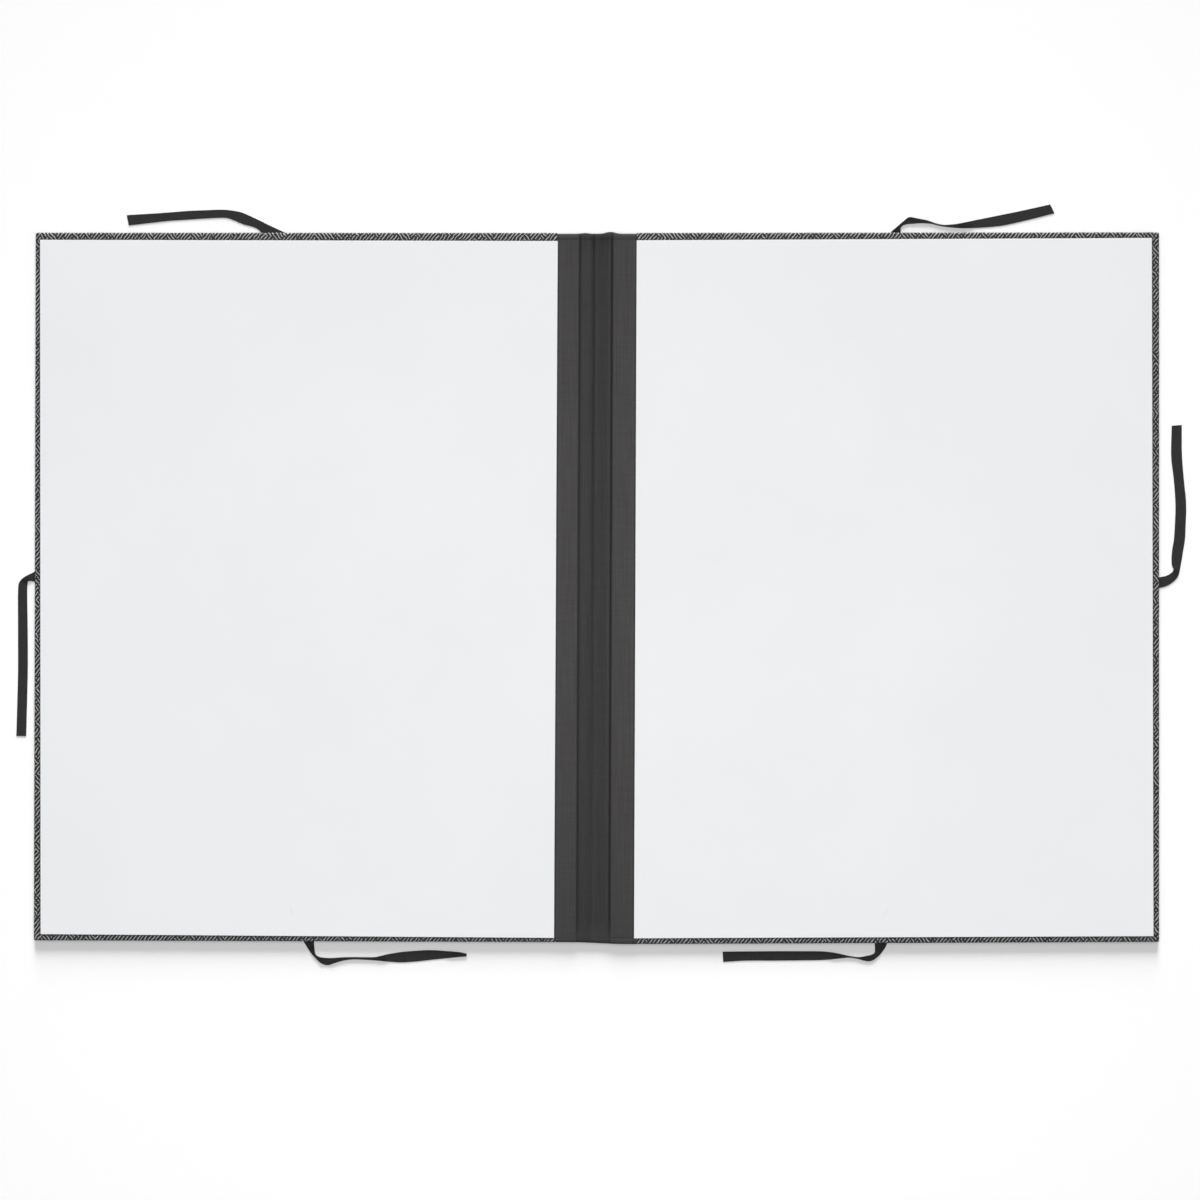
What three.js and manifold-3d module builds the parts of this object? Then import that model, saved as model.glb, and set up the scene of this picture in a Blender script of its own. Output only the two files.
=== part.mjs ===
// An art portfolio that lies open flat on a table with its inside up.
// Millimetres. +X points to the right cover's fore edge, +Y to the head, +Z up, and z = 0 is the table.
// Two greyboard covers are joined by a soft cloth spine, lined in white and tied with six ribbons.
import * as THREE from "three";
import { mergeVertices } from "three/addons/utils/BufferGeometryUtils.js";
import Module from "manifold-3d";

const wasm = await Module();
wasm.setup();

// Driving dimensions
const coverWidth = 508;
const coverHeight = 660;
const spineGap = 32;
const boardThickness = 3;
const clothThickness = 0.4;
const liningThickness = 0.3;
const ribbonWidth = 10;
const ribbonThickness = 0.4;
const clothStripWidth = 74;
const visibleBorder = 6;
const turnIn = 15;
const hingeInset = 1.6;
const slitInset = 20;
const slitLength = 11;
const slitWidth = 1;
const ribbonTail = 18;
const listedWidth = 10;
const gatherFrom = 7.8;
const gatherClear = 1;
const gatherRise = 3;
const steepThickness = 1.2;
const foreSlitRise = 6;
const cutGap = 0.3;
const routeSteps = 3;

// Levels, from the table up
const underSkin = ribbonThickness;
const underBoard = underSkin + clothThickness;
const overBoard = underBoard + boardThickness;
const overTurnIn = overBoard + clothThickness;
const overLining = overTurnIn + liningThickness;
const overWing = overTurnIn + clothThickness;
const overSpine = underBoard + clothThickness;

// Distances from the middle of the spine, and from the middle of the height
const boardEdge = spineGap / 2;
const hingeLine = boardEdge - hingeInset;
const clothEdge = clothStripWidth / 2;
const foreEdge = boardEdge + coverWidth;
const headEdge = coverHeight / 2;
const boardForeEdge = foreEdge - clothThickness;
const boardHeadEdge = headEdge - clothThickness;
const slitMiddle = boardEdge + coverWidth / 2;

const paint = {
  board: { color: 0x9c9384, roughness: 0.9 },
  coverPaper: { color: 0x4a4a4c, roughness: 0.55 },
  cloth: { color: 0x474545, roughness: 0.9 },
  infill: { color: 0xd9d5ca, roughness: 0.9 },
  lining: { color: 0xeeeff1, roughness: 0.85 },
  ribbon: { color: 0x303030, roughness: 0.6 },
};

const sides = [
  { name: "left", sign: -1 },
  { name: "right", sign: 1 },
];

// Where each tie's slit is, and its two selvedges as seen from above, from the slit to the cut end.
// A stop is the left selvedge's x and y and the right one's, looking along the ribbon, from the edge of
// the cover straight outward of the slit.
const ties = [
  {
    name: "tie_head_left",
    slit: [-slitMiddle, headEdge - slitInset],
    outward: [0, 1],
    selvedges: [
      [-5, -18, 5, -18], [-7, -13.8, 1.2, -8.2], [-17, -11.2, -12.6, -2.3], [-29, -5.8, -24.8, 3.3],
      [-42.4, 0.4, -38.2, 9.5], [-45.7, 3.9, -42.4, 11.7], [-49.4, 6.1, -46.6, 13.7],
      [-54.3, 7.8, -51.3, 15.9], [-58.8, 8.8, -56, 18.1], [-64.4, 11, -61.6, 20.4],
      [-70.4, 13.6, -68.3, 21.9], [-76, 15.3, -74.6, 22.8], [-82.1, 15.5, -81.6, 23.1],
      [-96.1, 14.8, -96.5, 22.6], [-111, 13.8, -111.5, 22], [-128.6, 12.7, -129.2, 20.6],
      [-145.2, 10.9, -146, 19.4], [-157.2, 9.5, -158.1, 18.7], [-167.4, 8.3, -169.3, 18],
    ],
  },
  {
    name: "tie_head_right",
    slit: [slitMiddle, headEdge - slitInset],
    outward: [0, 1],
    selvedges: [
      [-5, -18, 5, -18], [-0.6, -8, 9.3, -8.5], [3.9, 1.3, 13.6, 1.6], [9.2, 6.1, 13.6, 4.5],
      [12.6, 9, 14.1, 6.7], [16.4, 12.2, 16, 8.3], [21.5, 16.1, 19.7, 9.5], [26.2, 15.6, 25.6, 10],
      [31.3, 14.5, 31.3, 10.5], [38.3, 13.1, 37.9, 10.4], [43, 11.5, 42.5, 10], [48.1, 9.8, 47.9, 8.6],
      [53.7, 8.8, 53.7, 7.5], [59.3, 9, 59.3, 6.7], [64.9, 9.5, 64.9, 6.2], [71.5, 10.7, 71.5, 5.8],
      [84, 13.4, 85.4, 6.1], [93.8, 15.4, 95.2, 6.7], [106.2, 17.9, 108.3, 8.1],
      [125.9, 21.9, 128.4, 12.4], [153.4, 28, 157.5, 19.7],
    ],
  },
  {
    name: "tie_fore_right",
    slit: [foreEdge - slitInset, foreSlitRise],
    outward: [1, 0],
    selvedges: [
      [-18, 5, -18, -5], [-10, 3.9, -10, -6.1], [0.2, 3.6, 0.2, -6.5], [3.7, 4.1, 4.4, -5.7],
      [7.4, 4.9, 8.8, -4.3], [10.4, 6.2, 13.2, -1.6], [12.4, 7.6, 16.4, 1.2], [14.1, 9.3, 18.7, 4.4],
      [14.8, 11, 20.1, 9], [13.3, 14.6, 21.5, 15.4], [12.8, 20.7, 22.7, 21.9], [13.4, 28.8, 23.7, 28.5],
      [14.9, 38.1, 25.3, 38.4], [16, 53.3, 26, 51.2], [16.5, 72.2, 26.5, 72.2], [14.9, 95.7, 24.3, 95.7],
      [12.6, 115.4, 22.6, 118.3], [13, 145.2, 22.4, 146],
    ],
  },
  {
    name: "tie_fore_left",
    slit: [slitInset - foreEdge, foreSlitRise],
    outward: [-1, 0],
    selvedges: [
      [18, -5, 18, 5], [10, -2, 10, 8], [-0.4, -0.8, 0, 9.4], [-3.1, -0.2, -3.8, 7.6],
      [-5.8, 0.2, -7.5, 5.8], [-7.5, -0.1, -11.8, 3.2], [-8, -2.1, -14.7, 0.6],
      [-8.2, -4.5, -16.3, -2.3], [-8.3, -8.2, -16.8, -6.8], [-8.3, -16.1, -17, -16.1],
      [-8, -36.2, -16.9, -36.2], [-7.8, -54.9, -16.9, -54.9], [-7.8, -83.3, -16.9, -83.3],
      [-8.4, -110.8, -17.5, -110.8], [-9.3, -144.8, -18.5, -144.8],
    ],
  },
  {
    name: "tie_tail_left",
    slit: [-slitMiddle, slitInset - headEdge],
    outward: [0, -1],
    selvedges: [
      [5, 18, -5, 18], [5.1, 9, -4.9, 9], [5.7, -0.5, -4.2, 0.1], [5.9, -5.7, -0.9, -5.7],
      [6.3, -10.4, 3.2, -11.6], [7.3, -13, 5.9, -14.8], [10.2, -14.9, 8.9, -17.9],
      [14.3, -15.7, 12.6, -21.1], [18.7, -16, 18.3, -22.8], [23.8, -16, 24.3, -21],
      [31.7, -15.5, 31.7, -18.7], [41, -15.3, 41, -17.3], [52.7, -15.4, 52.7, -17.5],
      [63, -15.2, 63, -18.2], [74.2, -12.6, 74.2, -19.4], [86.8, -10.5, 86.8, -20.2],
      [99.3, -9.4, 99.3, -19.5], [115.2, -8.7, 116.1, -17.7], [131.1, -9.7, 131.1, -16.1],
      [142.3, -10.8, 142.3, -14.9], [148.2, -12, 148.2, -14.5],
    ],
  },
  {
    name: "tie_tail_right",
    slit: [slitMiddle, slitInset - headEdge],
    outward: [0, -1],
    selvedges: [
      [5, 18, -5, 18], [3, 9, -7.4, 9], [1.3, -1.6, -10.4, -1.6], [-0.3, -5.7, -10.3, -5.5],
      [-2.4, -9, -10.3, -8.8], [-5.5, -12.7, -10.4, -11], [-8.5, -15.5, -11.7, -12.2],
      [-12, -18, -14.6, -13.3], [-16, -19.1, -18.1, -14.1], [-20.6, -18.4, -21.4, -14.8],
      [-25.3, -17, -25.6, -15.3], [-29.8, -16.1, -29.8, -14.9], [-34.6, -15.6, -34.6, -14.1],
      [-39.3, -15.9, -39.3, -13.1], [-45.5, -16.6, -45.5, -11.7], [-52.6, -17.5, -52.6, -10.5],
      [-61.9, -18, -61.9, -9.8], [-81.2, -18.3, -81.2, -9.7], [-105, -18.5, -105, -9.7],
      [-131.9, -18.6, -131.9, -9.9], [-152, -19.8, -152.6, -10.1],
    ],
  },
];

const group = new THREE.Group();

function add(name, geometry, look) {
  geometry.computeVertexNormals();
  const material = new THREE.MeshStandardMaterial({ ...look, metalness: 0 });
  const mesh = new THREE.Mesh(geometry, material);
  mesh.name = name;
  group.add(mesh);
}

// The span of x between two distances from the spine's middle, on one side
function across(sign, near, far) {
  return sign > 0 ? [near, far] : [-far, -near];
}

// A flat plate between two levels, with rectangular holes
function plate([left, right], [low, high], [bottom, top], holes = []) {
  const outline = new THREE.Shape();
  outline.moveTo(left, low).lineTo(right, low).lineTo(right, high).lineTo(left, high).closePath();
  for (const [[holeLeft, holeRight], [holeLow, holeHigh]] of holes) {
    const hole = new THREE.Path();
    hole.moveTo(holeLeft, holeLow).lineTo(holeLeft, holeHigh);
    hole.lineTo(holeRight, holeHigh).lineTo(holeRight, holeLow).closePath();
    outline.holes.push(hole);
  }
  const geometry = new THREE.ExtrudeGeometry(outline, { depth: 1, bevelEnabled: false });
  const position = geometry.getAttribute("position");
  for (let i = 0; i < position.count; i += 1) {
    position.setZ(i, position.getZ(i) > 0 ? top : bottom);
  }
  return geometry;
}

function solidOf(geometry) {
  const bare = new THREE.BufferGeometry();
  bare.setAttribute("position", geometry.getAttribute("position").clone());
  if (geometry.index) bare.setIndex(geometry.index.clone());
  const merged = mergeVertices(bare, 1e-4);
  return new wasm.Manifold(
    new wasm.Mesh({
      numProp: 3,
      vertProperties: merged.attributes.position.array,
      triVerts: new Uint32Array(merged.index.array),
    }),
  );
}

// Plates that touch, joined into one piece
function joined(plates) {
  const mesh = wasm.Manifold.union(plates.map(solidOf)).getMesh();
  const geometry = new THREE.BufferGeometry();
  geometry.setAttribute("position", new THREE.BufferAttribute(mesh.vertProperties, 3));
  geometry.setIndex(new THREE.BufferAttribute(mesh.triVerts, 1));
  return geometry.toNonIndexed();
}

// A rectangle round a slit: half its length along the edge, and its reach each way across
function roundSlit(tie, halfLength, outReach, inReach) {
  const [x, y] = tie.slit;
  const [outX, outY] = tie.outward;
  const far = [x + outX * outReach, y + outY * outReach];
  const near = [x - outX * inReach, y - outY * inReach];
  const sideX = Math.abs(outY) * halfLength;
  const sideY = Math.abs(outX) * halfLength;
  return [
    [Math.min(near[0], far[0]) - sideX, Math.max(near[0], far[0]) + sideX],
    [Math.min(near[1], far[1]) - sideY, Math.max(near[1], far[1]) + sideY],
  ];
}

function tiesOf(sign) {
  return ties.filter((tie) => Math.sign(tie.slit[0]) === sign);
}

function slitHoles(sign) {
  return tiesOf(sign).map((tie) => roundSlit(tie, slitLength / 2, slitWidth / 2, slitWidth / 2));
}

function tailNotches(sign) {
  const halfLength = ribbonWidth / 2 + cutGap;
  return tiesOf(sign).map((tie) => roundSlit(tie, halfLength, slitWidth / 2, ribbonTail + cutGap));
}

// One cover's greyboard, with a slit for each tie
function board(sign) {
  const x = across(sign, boardEdge, boardForeEdge);
  return plate(x, [-boardHeadEdge, boardHeadEdge], [underBoard, overBoard], slitHoles(sign));
}

// The leatherette paper: over the outer face, round three edges and turned in on the inner face
function coverPaper(sign) {
  const whole = across(sign, clothEdge, foreEdge);
  const foreWall = across(sign, boardForeEdge, foreEdge);
  const foreFlap = across(sign, foreEdge - turnIn, foreEdge);
  const height = [-headEdge, headEdge];
  const pieces = [
    plate(whole, height, [underSkin, underBoard], slitHoles(sign)),
    plate(foreWall, height, [underBoard, overTurnIn]),
    plate(foreFlap, height, [overBoard, overTurnIn]),
  ];
  for (const end of [-1, 1]) {
    pieces.push(plate(whole, across(end, boardHeadEdge, headEdge), [underBoard, overTurnIn]));
    pieces.push(plate(whole, across(end, headEdge - turnIn, headEdge), [overBoard, overTurnIn]));
  }
  return joined(pieces);
}

// The outer cloth's wing: on the outer face and turned in round the head and tail
function outerWing(sign) {
  const whole = across(sign, hingeLine, clothEdge);
  const onBoard = across(sign, boardEdge, clothEdge);
  const inGroove = across(sign, hingeLine, boardEdge);
  const onBoardEdge = across(sign, boardEdge - clothThickness, boardEdge);
  const pieces = [plate(whole, [-headEdge, headEdge], [underSkin, underBoard])];
  for (const end of [-1, 1]) {
    const wall = across(end, boardHeadEdge, headEdge);
    const flap = across(end, headEdge - turnIn, headEdge);
    const border = across(end, headEdge - visibleBorder, headEdge);
    pieces.push(plate(onBoard, wall, [underBoard, overTurnIn]));
    pieces.push(plate(onBoard, flap, [overBoard, overTurnIn]));
    pieces.push(plate(inGroove, border, [underBoard, overSpine]));
    pieces.push(plate(onBoardEdge, border, [underBoard, overTurnIn]));
  }
  return joined(pieces);
}

// The outer cloth between the hinges, its ends turned in
function outerSpine() {
  const x = [-hingeLine, hingeLine];
  const pieces = [plate(x, [-headEdge, headEdge], [underSkin, underBoard])];
  for (const end of [-1, 1]) {
    const border = across(end, headEdge - visibleBorder, headEdge);
    pieces.push(plate(x, border, [underBoard, overSpine]));
  }
  return joined(pieces);
}

const clothSpan = [visibleBorder - headEdge, headEdge - visibleBorder];

// The inner cloth's wing: from the hinge along the groove, up the board's edge and onto the board
function innerWing(sign) {
  const inGroove = across(sign, hingeLine, boardEdge);
  const onBoardEdge = across(sign, boardEdge - clothThickness, boardEdge);
  const onBoard = across(sign, boardEdge - clothThickness, clothEdge);
  return joined([
    plate(inGroove, clothSpan, [underBoard, overSpine]),
    plate(onBoardEdge, clothSpan, [underBoard, overWing]),
    plate(onBoard, clothSpan, [overTurnIn, overWing]),
  ]);
}

// The card inside the turn-ins that brings the lining level with them, notched for the ribbon tails
function infill(sign) {
  const x = across(sign, boardEdge, foreEdge - turnIn);
  const y = [turnIn - headEdge, headEdge - turnIn];
  return plate(x, y, [overBoard, overTurnIn], tailNotches(sign));
}

function lining(sign) {
  const x = across(sign, clothEdge, foreEdge - visibleBorder);
  return plate(x, clothSpan, [overTurnIn, overLining]);
}

// The selvedges along a tie's way on the table, seen from above, each as evenly spaced points
function selvedgesOf(tie) {
  const outward = new THREE.Vector3(...tie.outward, 0);
  const rim = new THREE.Vector3(...tie.slit, 0).addScaledVector(outward, slitInset);
  const count = (tie.selvedges.length - 1) * routeSteps;
  const [lefts, rights] = [0, 2].map((first) => {
    const stops = tie.selvedges.map((stop) => new THREE.Vector3(stop[first], stop[first + 1], 0).add(rim));
    return new THREE.CatmullRomCurve3(stops, false, "centripetal").getPoints(count);
  });
  return lefts.map((left, i) => {
    const middle = left.clone().lerp(rights[i], 0.5);
    const half = left.clone().sub(middle).multiplyScalar(ribbonWidth / listedWidth);
    return { middle, half };
  });
}

// Places across a gathered ribbon, from the right selvedge to the left one, and shares of a pleat's height
const pleats = [[-1, 0], [-0.5, 1], [0, 0], [0.5, 1], [1, 0]];

// One cross-section as a ring: along the lower face to the left selvedge and back along the upper face
function ring(middle, half, low, high, pleatHeight = 0) {
  const across = pleats.map(([place, share]) => {
    return middle.clone().addScaledVector(half, place).setZ(middle.z + share * pleatHeight);
  });
  const lower = across.map((point) => point.clone().add(low));
  const upper = across.map((point) => point.clone().add(high));
  return [...lower, ...upper.reverse()];
}

// The cross-sections of a tie, from its glued tail through the slit and along the table.
// Where the selvedges come close together the ribbon is gathered into two low pleats.
function ringsOf(tie) {
  const outward = new THREE.Vector3(...tie.outward, 0);
  const up = new THREE.Vector3(0, 0, 1);
  const slit = new THREE.Vector3(...tie.slit, 0);
  const straight = up.clone().cross(outward).multiplyScalar(ribbonWidth / 2);
  const halfThickness = ribbonThickness / 2;
  const flat = up.clone().multiplyScalar(halfThickness);
  const corner = outward.clone().multiplyScalar(halfThickness).add(flat);
  const tail = slit.clone().setZ(overBoard + halfThickness);
  const tailEnd = tail.clone().addScaledVector(outward, -ribbonTail);
  const mouth = slit.clone().setZ(halfThickness);
  const rings = [
    ring(tailEnd, straight, flat.clone().negate(), flat),
    ring(tail, straight, corner.clone().negate(), corner),
    ring(mouth, straight, corner.clone().negate(), corner),
  ];
  const way = selvedgesOf(tie);
  way.forEach(({ middle, half }, i) => {
    const before = way[Math.max(i - 1, 0)].middle;
    const after = way[Math.min(i + 1, way.length - 1)].middle;
    const along = after.clone().sub(before).normalize();
    const seen = (2 * along.cross(half).length() * listedWidth) / ribbonWidth;
    const out = middle.clone().sub(slit).dot(outward) - slitInset;
    const clear = THREE.MathUtils.clamp((out - gatherClear) / gatherRise, 0, 1);
    const steep = Math.sqrt(Math.max(0, 1 - (seen / gatherFrom) ** 2)) * clear;
    const thickness = Math.min(ribbonThickness / Math.sqrt(1 - steep ** 2), steepThickness);
    const high = up.clone().multiplyScalar(thickness);
    const leg = ribbonWidth / (pleats.length - 1);
    rings.push(ring(middle, half, new THREE.Vector3(), high, leg * steep));
  });
  return rings;
}

// A ribbon as one closed solid through its cross-sections
function ribbon(tie) {
  const rings = ringsOf(tie);
  const size = rings[0].length;
  const faces = [];
  for (let i = 0; i + 1 < rings.length; i += 1) {
    for (let side = 0; side < size; side += 1) {
      const a = i * size + side;
      const b = i * size + ((side + 1) % size);
      faces.push(a, b, a + size, b, b + size, a + size);
    }
  }
  const end = (rings.length - 1) * size;
  for (let i = 0; i + 1 < pleats.length; i += 1) {
    const [a, b, c, d] = [i, i + 1, size - 2 - i, size - 1 - i];
    faces.push(a, c, b, a, d, c);
    faces.push(end + a, end + b, end + c, end + a, end + c, end + d);
  }
  const geometry = new THREE.BufferGeometry();
  geometry.setFromPoints(rings.flat());
  geometry.setIndex(faces);
  return geometry;
}

for (const { name, sign } of sides) {
  add(`${name}_board`, board(sign), paint.board);
  add(`${name}_cover_paper`, coverPaper(sign), paint.coverPaper);
  add(`${name}_outer_cloth`, outerWing(sign), paint.cloth);
  add(`${name}_infill`, infill(sign), paint.infill);
  add(`${name}_lining`, lining(sign), paint.lining);
  add(`${name}_inner_cloth`, innerWing(sign), paint.cloth);
}
add("spine_outer_cloth", outerSpine(), paint.cloth);
add("spine_inner_cloth", plate([-hingeLine, hingeLine], clothSpan, [underBoard, overSpine]), paint.cloth);
for (const tie of ties) add(tie.name, ribbon(tie), paint.ribbon);

export default group;
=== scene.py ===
"""An art portfolio that lies open flat, inside up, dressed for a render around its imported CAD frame."""

import math

import bpy
import numpy as np
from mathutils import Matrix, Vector, noise


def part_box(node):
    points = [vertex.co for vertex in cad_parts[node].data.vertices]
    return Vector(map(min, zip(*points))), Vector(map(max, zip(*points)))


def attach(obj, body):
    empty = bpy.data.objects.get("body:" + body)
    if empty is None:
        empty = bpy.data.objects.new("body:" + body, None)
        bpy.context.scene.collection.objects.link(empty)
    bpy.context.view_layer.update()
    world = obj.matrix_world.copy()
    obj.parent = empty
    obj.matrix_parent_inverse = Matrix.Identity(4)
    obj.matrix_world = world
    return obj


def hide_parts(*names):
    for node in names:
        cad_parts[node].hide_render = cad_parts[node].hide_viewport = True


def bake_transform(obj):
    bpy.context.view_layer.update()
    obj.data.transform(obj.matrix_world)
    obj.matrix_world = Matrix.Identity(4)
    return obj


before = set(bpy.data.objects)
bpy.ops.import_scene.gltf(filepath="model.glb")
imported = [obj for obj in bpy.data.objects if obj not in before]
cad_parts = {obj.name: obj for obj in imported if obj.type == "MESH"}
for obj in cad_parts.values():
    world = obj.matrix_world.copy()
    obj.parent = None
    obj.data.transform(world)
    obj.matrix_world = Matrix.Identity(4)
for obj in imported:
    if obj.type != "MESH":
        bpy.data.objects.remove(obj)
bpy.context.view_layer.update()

# The camera looks straight down. The photograph is square.
METRES_PER_PIXEL = 0.0009328
IMAGE_SIDE = 1200
PHOTO_CENTRE = (0.00285, -0.01157)
LENS = 85.0
SENSOR = 36.0
LINING_LEVEL = 0.0045


def make_camera():
    data = bpy.data.cameras.new("overhead")
    data.lens = LENS
    data.sensor_width = SENSOR
    data.clip_start = 0.05
    data.clip_end = 50.0
    camera = bpy.data.objects.new("overhead", data)
    distance = IMAGE_SIDE * METRES_PER_PIXEL * LENS / SENSOR
    camera.location = (*PHOTO_CENTRE, distance + LINING_LEVEL)
    bpy.context.scene.collection.objects.link(camera)
    bpy.context.scene.camera = camera


make_camera()


# Mesh helpers

def mesh_object(name, points, faces, places=None, shades=None, smooth=True):
    """A mesh object whose points keep their place, or the one given, in the attribute 'place'.

    The attribute 'shade', where given, says how much of its colour the material keeps there; it carries
    painted shade and highlight, and the cloth's lengthwise darkening.
    """
    mesh = bpy.data.meshes.new(name)
    mesh.from_pydata([tuple(p) for p in points], [], faces)
    mesh.update()
    place = mesh.attributes.new("place", "FLOAT_VECTOR", "POINT")
    values = points if places is None else places
    place.data.foreach_set("vector", np.array(values, np.float32).ravel())
    if shades is not None:
        mesh.attributes.new("shade", "FLOAT", "POINT").data.foreach_set("value", shades)
    if smooth:
        mesh.polygons.foreach_set("use_smooth", [True] * len(mesh.polygons))
    made = bpy.data.objects.new(name, mesh)
    bpy.context.scene.collection.objects.link(made)
    return made


def grid_faces(rows, columns, closed_rows=False):
    """Quads between neighbouring rows of a grid of points."""
    faces = []
    for i in range(rows - 1):
        for j in range(columns if closed_rows else columns - 1):
            k = (j + 1) % columns
            faces.append((i * columns + j, i * columns + k, (i + 1) * columns + k, (i + 1) * columns + j))
    return faces


# The six ribbon ties

RIBBON_WIDTH = 0.010
RIBBON_THICKNESS = 0.0004
RIBBON_STEP = 0.0012
LEAST_STEPS = 3
SELVEDGE_SHARE = 0.35
SLIT_INSET = 0.020
SLIT_DEPTH = 0.002
FORE_EDGE = 0.524
HEAD_EDGE = 0.330
SLIT_MIDDLE = 0.270
FORE_RISE = 0.006

# Each tie's body, the point where it leaves the cover, and the way out there
TIE_EXITS = {
    "tie_head_left": ("left_cover", (-SLIT_MIDDLE, HEAD_EDGE), (0, 1)),
    "tie_head_right": ("right_cover", (SLIT_MIDDLE, HEAD_EDGE), (0, 1)),
    "tie_fore_right": ("right_cover", (FORE_EDGE, FORE_RISE), (1, 0)),
    "tie_fore_left": ("left_cover", (-FORE_EDGE, FORE_RISE), (-1, 0)),
    "tie_tail_left": ("left_cover", (-SLIT_MIDDLE, -HEAD_EDGE), (0, -1)),
    "tie_tail_right": ("right_cover", (SLIT_MIDDLE, -HEAD_EDGE), (0, -1)),
}

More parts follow.
